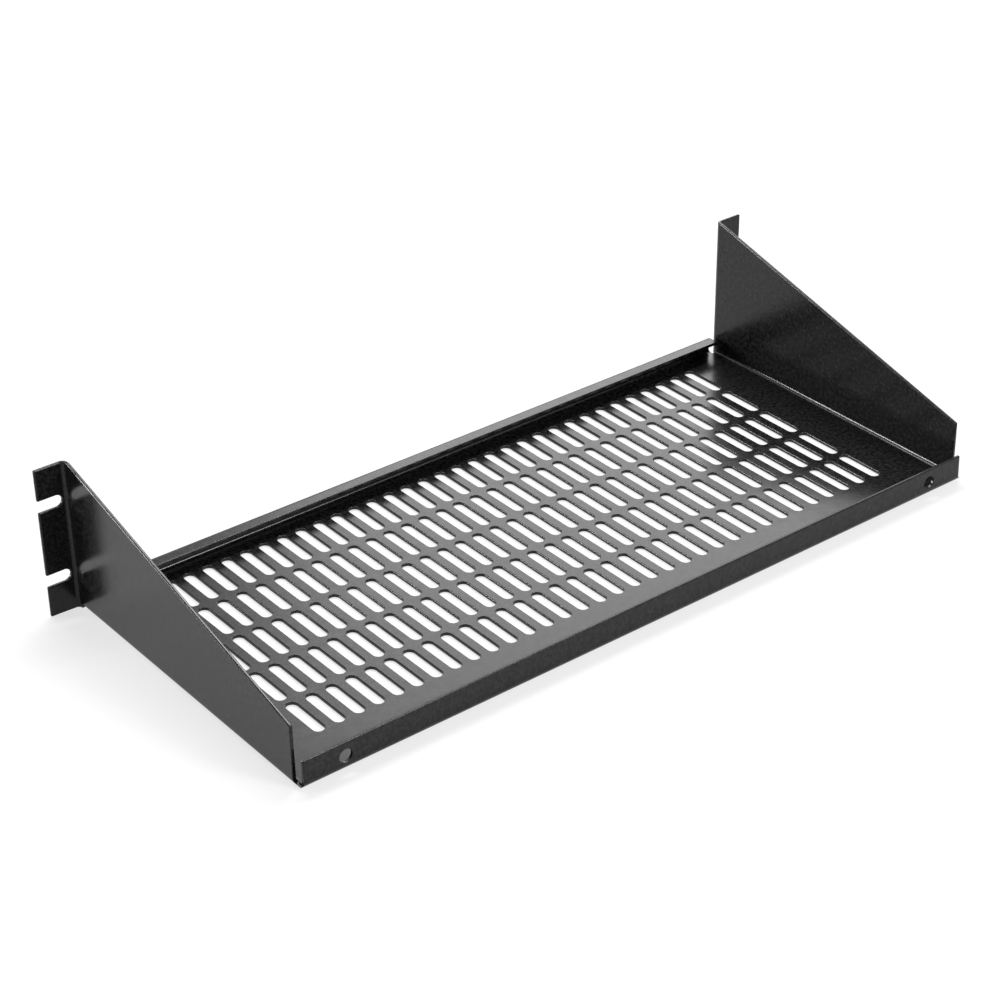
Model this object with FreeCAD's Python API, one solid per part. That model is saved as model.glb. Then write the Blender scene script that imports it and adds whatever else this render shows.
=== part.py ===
import FreeCAD, Part
import math
import os
from FreeCAD import Vector

# Cantilever rack shelf for a 19-inch rack, two units high: one sheet of 14-gauge steel, punched,
# folded and powder coated.  Millimetres.  X runs across the rack, Y from the rack face back into
# the rack, Z up.  X = 0 is the middle, Y = 0 the face of the ears that meets the rack rails, and
# Z = 0 the underside of the floor.

# ---- sheet ----
sheet = 1.9                   # 14-gauge steel with its coat
bend_inside = 2.0             # inside radius of every fold

# ---- overall ----
body_width = 449.2            # across the outer faces of the side panels
ear_reach = 16.7              # outer face of a side panel to the side edge of its ear
shelf_depth = 203.2           # ears' rail face to the outer face of the rear lip
ear_height = 87.4             # two rack units less the gap between neighbours

# ---- side panels ----
panel_rear_height = 34.5      # height of the panel at its rear edge
panel_rear_gap = 5.8          # rear edge of the panel to the outer face of the rear lip
ear_top_land = 2.0            # level stretch of the top edge behind the ear fold

# ---- front lip, turned up and then in over the floor ----
front_lip_height = 11.6
front_return = 7.9            # reach of the return flange behind the ears' rail face
front_lip_end_gap = 3.5       # end of the lip to the inner face of the side panel

# ---- rear lip, turned up ----
rear_lip_height = 16.7
rear_lip_end_gap = 0.4        # end of the lip to the inner face of the side panel
lip_hole_diameter = 7.5
lip_hole_inset = 24.3         # end of the lip to the middle of the hole
lip_hole_height = 8.5         # hole centre above the underside

# ---- corner reliefs ----
ear_fold_land = 0.4           # flat sheet between the ear fold and its relief slit
relief_width = 1.2            # slit that frees the ear fold from the floor fold
relief_rise = 0.4             # how far the slit runs past the end of the floor fold
rear_relief_width = 1.5       # slit that frees the side fold from the rear lip
corner_tip_height = 1.9       # sheet left standing at the outer corner of the rear reliefs

# ---- mounting notches, open to the side edge of the ears ----
notch_width = 6.8
notch_pitch = 44.45           # between the two notches of an ear
notch_depth = 13.9            # side edge of the ear to the closed end of a notch

# ---- vent slots ----
slot_length = 29.3
slot_width = 6.4
slot_end_flats = 7            # short flats that draw each round end, to keep the field light
slot_columns = 33
slot_rows = 5
slot_pitch_x = 11.9
slot_pitch_y = 32.8
first_row = 26.1              # ears' rail face to the middle of the row nearest to it

# ---- worked out from the sizes above ----
bend_outside = bend_inside + sheet
panel_width = body_width + 2 * ear_reach
panel_inner_x = body_width / 2 - sheet
side_bend_x = body_width / 2 - bend_outside
front_lip_end = panel_inner_x - front_lip_end_gap
rear_lip_end = panel_inner_x - rear_lip_end_gap
panel_rear = shelf_depth - panel_rear_gap
slit_front = bend_inside + ear_fold_land
slit_back = slit_front + relief_width
floor_middle = shelf_depth / 2
past = 1.0                    # overrun of every cutting tool


def box_between(x0, x1, y0, y1, z0, z1):
    """Box between two opposite corners."""
    return Part.makeBox(x1 - x0, y1 - y0, z1 - z0, Vector(x0, y0, z0))


def unit(v):
    return Vector(v).normalize()


def folded_face(corners):
    """Cross-section of a strip of sheet folded square at each inner corner.

    The corners run along the outer face of the strip, and every fold turns the same way."""
    outer = []
    inner = []
    outer_at = corners[0]
    inner_at = corners[0] + unit(corners[2] - corners[1]) * sheet
    start_cap = Part.LineSegment(inner_at, outer_at).toShape()
    for before, corner, after in zip(corners, corners[1:], corners[2:]):
        along = unit(corner - before)
        turned = unit(after - corner)
        centre = corner + (turned - along) * bend_outside
        middle = unit(along - turned)
        outer.append(Part.LineSegment(outer_at, centre - turned * bend_outside).toShape())
        inner.append(Part.LineSegment(inner_at, centre - turned * bend_inside).toShape())
        outer_at = centre + along * bend_outside
        inner_at = centre + along * bend_inside
        outer.append(
            Part.Arc(
                centre - turned * bend_outside, centre + middle * bend_outside, outer_at
            ).toShape()
        )
        inner.append(
            Part.Arc(
                centre - turned * bend_inside, centre + middle * bend_inside, inner_at
            ).toShape()
        )
    outer_end = corners[-1]
    inner_end = corners[-1] - along * sheet
    outer.append(Part.LineSegment(outer_at, outer_end).toShape())
    inner.append(Part.LineSegment(inner_at, inner_end).toShape())
    end_cap = Part.LineSegment(outer_end, inner_end).toShape()
    edges = Part.__sortEdges__(outer + [end_cap] + inner + [start_cap])
    return Part.Face(Part.Wire(edges))


def filled_face(corners):
    """All that lies inside the outer face of a strip with one fold, up to its two free ends."""
    along = unit(corners[1] - corners[0])
    turned = unit(corners[2] - corners[1])
    centre = corners[1] + (turned - along) * bend_outside
    first = centre - turned * bend_outside
    last = centre + along * bend_outside
    far = corners[0] + (corners[2] - corners[1])
    edges = [
        Part.LineSegment(corners[0], first).toShape(),
        Part.Arc(first, centre + unit(along - turned) * bend_outside, last).toShape(),
        Part.LineSegment(last, corners[2]).toShape(),
        Part.LineSegment(corners[2], far).toShape(),
        Part.LineSegment(far, corners[0]).toShape(),
    ]
    return Part.Face(Part.Wire(edges))


def mirrored(shape):
    """The same shape on the other side of the shelf."""
    return shape.mirror(Vector(0, 0, 0), Vector(1, 0, 0))


# ---- floor with its two lips ----
def front_strip():
    """Floor, front lip and the return flange over the floor, between the ears."""
    corners = [
        Vector(-front_lip_end, front_return, front_lip_height),
        Vector(-front_lip_end, -sheet, front_lip_height),
        Vector(-front_lip_end, -sheet, 0),
        Vector(-front_lip_end, floor_middle, 0),
    ]
    return folded_face(corners).extrude(Vector(2 * front_lip_end, 0, 0))


def rear_corners(x):
    """Outer face of the floor and rear lip, as a line in the plane at x."""
    return [
        Vector(x, floor_middle, 0),
        Vector(x, shelf_depth, 0),
        Vector(x, shelf_depth, rear_lip_height),
    ]


def side_corners(y):
    """Outer face of the floor and side panel, as a line in the plane at y."""
    return [
        Vector(0, y, 0),
        Vector(body_width / 2, y, 0),
        Vector(body_width / 2, y, ear_height),
    ]


def rear_strip():
    """Floor and rear lip, carried out to the corners, where both folds meet under a mitre."""
    reach = Vector(body_width / 2, 0, 0)
    strip = folded_face(rear_corners(0)).extrude(reach)
    inside = filled_face(side_corners(0)).extrude(Vector(0, shelf_depth, 0))
    strip = strip.common(inside)
    return strip.fuse(mirrored(strip))


# ---- side panel and ear ----
def side_strip():
    """Floor edge, fold and side panel on the +X side, before the panel is cut to its outline."""
    reach = Vector(0, shelf_depth - slit_front, 0)
    strip = folded_face(side_corners(slit_front)).extrude(reach)
    lip = filled_face(rear_corners(0)).extrude(Vector(body_width / 2, 0, 0))
    front = box_between(0, body_width / 2, slit_front, floor_middle, 0, ear_height)
    front = front.fuse(box_between(0, body_width / 2, 0, panel_rear, rear_lip_height, ear_height))
    return strip.common(lip.fuse(front))


def rear_corner_cut():
    """Space between the rear edge of the panel and the end of the rear lip, with its slit."""
    outside = body_width / 2 + past
    behind = shelf_depth + past
    over = ear_height + past
    gap = box_between(rear_lip_end, outside, panel_rear, behind, corner_tip_height, over)
    slit_end = panel_rear + rear_relief_width
    slit = box_between(side_bend_x, outside, panel_rear, slit_end, corner_tip_height, over)
    return gap.fuse(slit)


def front_corner_cut():
    """Notch in the floor's front corner, and the slit that parts the floor fold from the ear."""
    outside = body_width / 2 + past
    slit_top = bend_outside + relief_rise
    return box_between(front_lip_end, outside, -past, slit_back, -past, slit_top)


def slope_cut():
    """Wedge taken off the panel: its top edge falls straight from the ear fold to the rear edge."""
    slope_start = bend_inside + ear_top_land
    outline = Part.makePolygon(
        [
            Vector(0, slope_start, ear_height),
            Vector(0, panel_rear, panel_rear_height),
            Vector(0, shelf_depth + past, panel_rear_height),
            Vector(0, shelf_depth + past, ear_height + past),
            Vector(0, slope_start, ear_height + past),
            Vector(0, slope_start, ear_height),
        ]
    )
    return Part.Face(outline).extrude(Vector(body_width / 2 + past, 0, 0))


def side_panel():
    """Side panel on the +X side with its fold, reliefs and sloping top edge."""
    panel = side_strip()
    for tool in (slope_cut(), front_corner_cut()):
        panel = panel.cut(tool)
    return panel


def mounting_notch(z):
    """Round-ended notch cut in from the side edge of the ear, at height z."""
    end_x = panel_width / 2 - notch_depth + notch_width / 2
    bore = Part.makeCylinder(
        notch_width / 2, sheet + 2 * past, Vector(end_x, -sheet - past, z), Vector(0, 1, 0)
    )
    mouth = box_between(
        end_x,
        panel_width / 2 + past,
        -sheet - past,
        past,
        z - notch_width / 2,
        z + notch_width / 2,
    )
    return bore.fuse(mouth)


def ear():
    """Mounting ear on the +X side, turned out from the front edge of the panel."""
    corners = [
        Vector(panel_inner_x, slit_front, 0),
        Vector(panel_inner_x, -sheet, 0),
        Vector(panel_width / 2, -sheet, 0),
    ]
    plate = folded_face(corners).extrude(Vector(0, 0, ear_height))
    for side in (-1, 1):
        plate = plate.cut(mounting_notch(ear_height / 2 + side * notch_pitch / 2))
    return plate


# ---- punched openings ----
def slot_outline():
    """Outline of one vent slot about its own middle; each round end is drawn as short flats."""
    radius = slot_width / 2
    half = (slot_length - slot_width) / 2
    points = []
    for end in (1, -1):
        for step in range(slot_end_flats + 1):
            turn = math.pi * step / slot_end_flats
            x = end * radius * math.cos(turn)
            y = end * (half + radius * math.sin(turn))
            points.append(Vector(x, y, -past))
    return Part.makePolygon(points + points[:1])


def vent_slots():
    """Field of round-ended slots, long side along Y, centred across the floor."""
    slot = Part.Face(slot_outline()).extrude(Vector(0, 0, sheet + 2 * past))
    slots = []
    for row in range(slot_rows):
        for column in range(slot_columns):
            x = (column - (slot_columns - 1) / 2) * slot_pitch_x
            y = first_row + row * slot_pitch_y
            slots.append(slot.translated(Vector(x, y, 0)))
    return slots


def lip_holes():
    """Two round fixing holes through the rear lip."""
    holes = []
    for side in (-1, 1):
        x = side * (rear_lip_end - lip_hole_inset)
        start = Vector(x, shelf_depth + past, lip_hole_height)
        holes.append(
            Part.makeCylinder(lip_hole_diameter / 2, sheet + 2 * past, start, Vector(0, -1, 0))
        )
    return holes


def shelf():
    """The whole sheet: floor and lips, both side panels and both ears, then all that is punched."""
    floor = front_strip().fuse(rear_strip())
    flank = side_panel().fuse(ear())
    body = floor.fuse([flank, mirrored(flank)])
    body = body.cut([rear_corner_cut(), mirrored(rear_corner_cut())] + lip_holes())
    return body.removeSplitter().cut(vent_slots())


os.makedirs("parts", exist_ok=True)
shelf().exportStep("parts/shelf.step")
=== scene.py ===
import math

import bmesh
import bpy
from mathutils import Matrix, Vector


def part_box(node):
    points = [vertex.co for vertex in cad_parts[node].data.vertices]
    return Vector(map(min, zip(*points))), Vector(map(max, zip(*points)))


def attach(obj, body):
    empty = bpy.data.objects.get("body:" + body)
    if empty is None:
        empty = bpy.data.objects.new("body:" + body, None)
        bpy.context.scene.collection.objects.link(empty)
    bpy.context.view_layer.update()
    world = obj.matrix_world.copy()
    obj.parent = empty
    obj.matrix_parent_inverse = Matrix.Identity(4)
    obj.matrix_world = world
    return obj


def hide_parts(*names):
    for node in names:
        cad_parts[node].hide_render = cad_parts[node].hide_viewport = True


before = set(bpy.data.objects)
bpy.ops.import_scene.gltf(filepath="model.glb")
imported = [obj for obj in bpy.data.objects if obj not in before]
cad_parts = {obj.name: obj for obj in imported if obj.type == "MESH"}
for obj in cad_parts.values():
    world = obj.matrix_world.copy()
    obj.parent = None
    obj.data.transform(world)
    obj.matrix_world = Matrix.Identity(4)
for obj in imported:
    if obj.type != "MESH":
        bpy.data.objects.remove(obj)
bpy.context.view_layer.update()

# Shelf: one sheet of 14-gauge steel, punched with vent slots, folded up at all four sides and
# powder coated black.  The powder flows out to a semi-gloss skin with a fine orange-peel grain,
# and rounds off the cut edges.
GRAIN_LENGTH = 0.0021         # metres, one swelling of the cured powder
GRAIN_DEPTH = 0.000004        # metres, height of the swellings
GRAIN_DETAIL = 2.0
CREST_HIGHLIGHT_RANGE = (0.36, 0.68)    # share of that height where the painted highlight on a crest begins and where it is full
CLOUD_LENGTH = 0.006          # metres, drift of the coat's gloss over the sheet
CLOUD_DETAIL = 3.0
CLOUD_RANGE = (0.3, 0.7)      # part of the drift's noise that is spread over the whole drift
NOISE_ROUGHNESS = 0.55
COAT_VALLEY_SHADE = (0.0015, 0.0015, 0.0016)  # painted shade: deepest black, between the swellings
COAT_CREST_HIGHLIGHT = (0.0135, 0.0135, 0.014)    # painted highlight: greyer, on top of them, where the crests catch the light
COAT_ROUGHNESS = (0.19, 0.25)  # ends of the gloss drift
COAT_IOR = 1.34
MERGE_REACH = 0.000001        # metres, corners nearer than this are one
FLAT_ANGLE = 0.5              # degrees, faces that differ by less lie in one flat
SHARP_ANGLE = 40.0            # degrees, from which an edge is a cut edge and not a fold
EDGE_RADIUS = 0.0007          # metres, rounding of the sheared outline under the coat
EDGE_STEPS = 3                # faces across that rounding
RIM_SHARE = 0.55              # of that rounding, on the rims of slots, holes and flange
RIM_TOP = 0.0125              # metres, above which only the outline of the sheet is left
RIM_SIDE = 0.21               # metres, past which the side folds begin
PANEL_SIDE = 0.2246           # metres, outer face of a side panel
CORNER_REACH = 0.009          # metres, size of the corners that stay as they are cut
sheet_low, sheet_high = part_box("shelf")


def powder_grain_group():
    """Node group for cured powder: two noises in Object coordinates, a fine one for the height of
    the grain and a wide one for the drift of gloss.  Puts out the bump height, the gloss drift and
    a mask of the crests of the grain for their painted highlight, each from 0 to 1."""
    group = bpy.data.node_groups.new("powder_grain", "ShaderNodeTree")
    face = group.interface
    face.new_socket("Vector", in_out="INPUT", socket_type="NodeSocketVector")
    for name in ("Grain Length", "Cloud Length"):
        face.new_socket(name, in_out="INPUT", socket_type="NodeSocketFloat")
    for name in ("Height", "Gloss Drift", "Crest Highlight"):
        face.new_socket(name, in_out="OUTPUT", socket_type="NodeSocketFloat")
    nodes, links = group.nodes, group.links
    given = nodes.new("NodeGroupInput")
    made = nodes.new("NodeGroupOutput")
    for length, output, detail in (
        ("Cloud Length", "Gloss Drift", CLOUD_DETAIL),
        ("Grain Length", "Height", GRAIN_DETAIL),
    ):
        inverse = nodes.new("ShaderNodeMath")
        inverse.operation = "DIVIDE"
        inverse.inputs[0].default_value = 1.0
        links.new(given.outputs[length], inverse.inputs[1])
        noise = nodes.new("ShaderNodeTexNoise")
        noise.inputs["Detail"].default_value = detail
        noise.inputs["Roughness"].default_value = NOISE_ROUGHNESS
        links.new(given.outputs["Vector"], noise.inputs["Vector"])
        links.new(inverse.outputs[0], noise.inputs["Scale"])
        links.new(noise.outputs["Fac"], made.inputs[output])
    # Mask for the painted highlight on the crests of the grain
    crest_highlight = nodes.new("ShaderNodeMapRange")
    crest_highlight.inputs["From Min"].default_value = CREST_HIGHLIGHT_RANGE[0]
    crest_highlight.inputs["From Max"].default_value = CREST_HIGHLIGHT_RANGE[1]
    links.new(noise.outputs["Fac"], crest_highlight.inputs["Value"])
    links.new(crest_highlight.outputs["Result"], made.inputs["Crest Highlight"])
    return group


def powder_coat():
    """Black powder coat: a dielectric skin with painted shade, deepest black, between the swellings
    of its grain and a painted highlight, greyer, on their crests.  Its roughness drifts between two
    values."""
    material = bpy.data.materials.new("black_powder_coat")
    material.use_nodes = True
    nodes, links = material.node_tree.nodes, material.node_tree.links
    shader = nodes["Principled BSDF"]
    shader.inputs["IOR"].default_value = COAT_IOR
    place = nodes.new("ShaderNodeTexCoord")
    grain = nodes.new("ShaderNodeGroup")
    grain.node_tree = powder_grain_group()
    grain.inputs["Grain Length"].default_value = GRAIN_LENGTH
    grain.inputs["Cloud Length"].default_value = CLOUD_LENGTH
    links.new(place.outputs["Object"], grain.inputs["Vector"])
    # Base colour: painted shade between the grain's swellings, painted highlight on their crests
    shade = nodes.new("ShaderNodeMix")
    shade.data_type = "RGBA"
    shade.inputs["A"].default_value = (*COAT_VALLEY_SHADE, 1.0)
    shade.inputs["B"].default_value = (*COAT_CREST_HIGHLIGHT, 1.0)
    links.new(grain.outputs["Crest Highlight"], shade.inputs["Factor"])
    links.new(shade.outputs["Result"], shader.inputs["Base Color"])
    drift = nodes.new("ShaderNodeMapRange")
    drift.inputs["From Min"].default_value = CLOUD_RANGE[0]
    drift.inputs["From Max"].default_value = CLOUD_RANGE[1]
    drift.inputs["To Min"].default_value = COAT_ROUGHNESS[0]
    drift.inputs["To Max"].default_value = COAT_ROUGHNESS[1]
    links.new(grain.outputs["Gloss Drift"], drift.inputs["Value"])
    links.new(drift.outputs["Result"], shader.inputs["Roughness"])
    bump = nodes.new("ShaderNodeBump")
    bump.inputs["Distance"].default_value = GRAIN_DEPTH
    links.new(grain.outputs["Height"], bump.inputs["Height"])
    links.new(bump.outputs["Normal"], shader.inputs["Normal"])
    return material


def rounding_share(place):
    """How much of the edge rounding a cut edge gets: none in the relief corners, where the folds
    end in slits smaller than it, less on punched rims, and all of it on the sheared outline."""
    beside = abs(abs(place.x) - PANEL_SIDE) < CORNER_REACH
    near_end = min(place.y - sheet_low.y, sheet_high.y - place.y) < CORNER_REACH
    if beside and near_end and place.z < CORNER_REACH:
        return 0.0
    if abs(place.x) < RIM_SIDE and place.z < RIM_TOP:
        return RIM_SHARE
    return 1.0


def merged_sheet(node):
    """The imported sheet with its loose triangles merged, and each flat made one large face.

    Edges sharper than a fold are cut edges, and are marked with their share of the rounding."""
    shape = bmesh.new()
    shape.from_mesh(node.data)
    bmesh.ops.remove_doubles(shape, verts=shape.verts, dist=MERGE_REACH)
    bmesh.ops.dissolve_limit(
        shape, angle_limit=math.radians(FLAT_ANGLE), verts=shape.verts, edges=shape.edges
    )
    weight = shape.edges.layers.float.new("bevel_weight_edge")
    for edge in shape.edges:
        middle = (edge.verts[0].co + edge.verts[1].co) / 2
        if edge.calc_face_angle(0) > math.radians(SHARP_ANGLE):
            edge[weight] = rounding_share(middle)
    mesh = bpy.data.meshes.new("shelf_sheet")
    shape.to_mesh(mesh)
    shape.free()
    mesh.attributes.remove(mesh.attributes["custom_normal"])
    mesh.shade_smooth()
    mesh.set_sharp_from_angle(angle=math.radians(SHARP_ANGLE))
    return mesh


sheet = bpy.data.objects.new("shelf_sheet", merged_sheet(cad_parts["shelf"]))
bpy.context.collection.objects.link(sheet)
sheet.data.materials.append(powder_coat())
rounding = sheet.modifiers.new("coated_edges", "BEVEL")
rounding.width = EDGE_RADIUS
rounding.segments = EDGE_STEPS
rounding.limit_method = "WEIGHT"
rounding.loop_slide = False
rounding.use_clamp_overlap = False
rounding.harden_normals = True
flats = sheet.modifiers.new("flats_stay_flat", "WEIGHTED_NORMAL")
flats.keep_sharp = True
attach(sheet, "root")
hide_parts("shelf")

# Studio floor and backdrop: a pale sheet that the shelf lies on, far wider than the shelf.  To
# the eye and in reflections it keeps a faint shadow round the shelf and is plain white farther out.
FLOOR_SIZE = 12.0
FLOOR_DROP = 0.0002           # metres, gap that keeps the sheet's underside off the paper
FLOOR_COLOR = (0.68, 0.68, 0.68)
FLOOR_ROUGHNESS = 0.9
FLOOR_GLOW = 0.7              # share of plain white round the shelf
SHADOW_REACH = (0.4, 1.3)     # metres from the shelf, over which that share grows to all of it


def shown_rays(tree):
    """1 for rays that show the backdrop: those of the camera, of gloss and through glass."""
    path = tree.nodes.new("ShaderNodeLightPath")
    total = path.outputs["Is Camera Ray"]
    for name in ("Is Glossy Ray", "Is Transmission Ray"):
        join = tree.nodes.new("ShaderNodeMath")
        join.operation = "MAXIMUM"
        tree.links.new(total, join.inputs[0])
        tree.links.new(path.outputs[name], join.inputs[1])
        total = join.outputs[0]
    return total


def white_floor():
    """Diffuse paper; rays that show the backdrop mix in plain white, more of it farther out."""
    material = bpy.data.materials.new("pale_floor")
    material.use_nodes = True
    nodes, links = material.node_tree.nodes, material.node_tree.links
    paper = nodes["Principled BSDF"]
    paper.inputs["Base Color"].default_value = (*FLOOR_COLOR, 1.0)
    paper.inputs["Roughness"].default_value = FLOOR_ROUGHNESS
    paper.inputs["Specular IOR Level"].default_value = 0.0
    glow = nodes.new("ShaderNodeEmission")
    place = nodes.new("ShaderNodeTexCoord")
    away = nodes.new("ShaderNodeVectorMath")
    away.operation = "LENGTH"
    share = nodes.new("ShaderNodeMapRange")
    share.inputs["From Min"].default_value = SHADOW_REACH[0]
    share.inputs["From Max"].default_value = SHADOW_REACH[1]
    share.inputs["To Min"].default_value = FLOOR_GLOW
    share.inputs["To Max"].default_value = 1.0
    white = nodes.new("ShaderNodeMath")
    white.operation = "MULTIPLY"
    mix = nodes.new("ShaderNodeMixShader")
    links.new(place.outputs["Object"], away.inputs[0])
    links.new(away.outputs["Value"], share.inputs["Value"])
    links.new(share.outputs["Result"], white.inputs[0])
    links.new(shown_rays(material.node_tree), white.inputs[1])
    links.new(white.outputs[0], mix.inputs["Fac"])
    links.new(paper.outputs["BSDF"], mix.inputs[1])
    links.new(glow.outputs["Emission"], mix.inputs[2])
    links.new(mix.outputs["Shader"], nodes["Material Output"].inputs["Surface"])
    return material


bpy.ops.mesh.primitive_plane_add(size=FLOOR_SIZE, location=(0, 0, -FLOOR_DROP))
floor = bpy.context.object
floor.name = "studio_floor"
floor.data.materials.append(white_floor())

# Room light: an even white surround, as the pale walls of a studio give.  It lights the shelf
# softly, and is paper white wherever a ray shows the backdrop.
WORLD_LEVEL = 0.35
SHOWN_LEVEL = 1.0
world = bpy.data.worlds.new("studio")
world.use_nodes = True
bpy.context.scene.world = world
surround = world.node_tree.nodes["Background"]
surround.inputs["Color"].default_value = (1, 1, 1, 1)
level = world.node_tree.nodes.new("ShaderNodeMapRange")
level.inputs["To Min"].default_value = WORLD_LEVEL
level.inputs["To Max"].default_value = SHOWN_LEVEL
world.node_tree.links.new(shown_rays(world.node_tree), level.inputs["Value"])
world.node_tree.links.new(level.outputs["Result"], surround.inputs["Strength"])

# Softboxes: lamps whose reflections draw the shelf.  Its floor mirrors the key, beyond the rack
# face on the -X side, and the panels' sloping edges mirror a strip overhead.  The low lamp lights
# the fold at the foot of the -X panel, and the fill behind lights the fold under the front flange.
LAMP_AIM = (0, 0.1, 0)        # metres, middle of the shelf's floor


def softbox(name, place, width, height, watts):
    """Rectangular area lamp that faces the middle of the shelf; sizes in metres."""
    lamp = bpy.data.lights.new(name, "AREA")
    lamp.shape = "RECTANGLE"
    lamp.size = width
    lamp.size_y = height
    lamp.energy = watts
    box = bpy.data.objects.new(name, lamp)
    box.location = place
    facing = Vector(LAMP_AIM) - Vector(place)
    box.rotation_euler = facing.to_track_quat("-Z", "Y").to_euler()
    bpy.context.collection.objects.link(box)


softbox("key_softbox", (-1.64, -1.38, 1.3), width=1.55, height=1.1, watts=21)
softbox("top_softbox", (-0.35, -0.8, 2.05), width=1.9, height=0.4, watts=58)
softbox("side_softbox", (1.72, -1.33, 0.26), width=0.5, height=0.46, watts=48)
softbox("fill_softbox", (-0.66, 1.65, 1.25), width=0.5, height=0.7, watts=30)

# Camera: behind the shelf on its +X side and above it, looking down across the floor towards the
# rack face, with a long lens and a slight roll.
CAMERA_PLACE = (0.7074, 0.9756, 0.7028)
CAMERA_TARGET = (0.0093, 0.0815, 0.0200)
CAMERA_ROLL = -0.777          # degrees
CAMERA_LENS = 88.0            # millimetres
camera = bpy.data.objects.new("camera", bpy.data.cameras.new("camera"))
camera.data.lens = CAMERA_LENS
camera.location = CAMERA_PLACE
aim = (Vector(CAMERA_TARGET) - Vector(CAMERA_PLACE)).to_track_quat("-Z", "Y").to_matrix()
roll = Matrix.Rotation(math.radians(CAMERA_ROLL), 3, "Z")
camera.rotation_euler = (aim @ roll).to_euler()
bpy.context.collection.objects.link(camera)
bpy.context.scene.camera = camera

bpy.context.scene.view_settings.view_transform = "Standard"
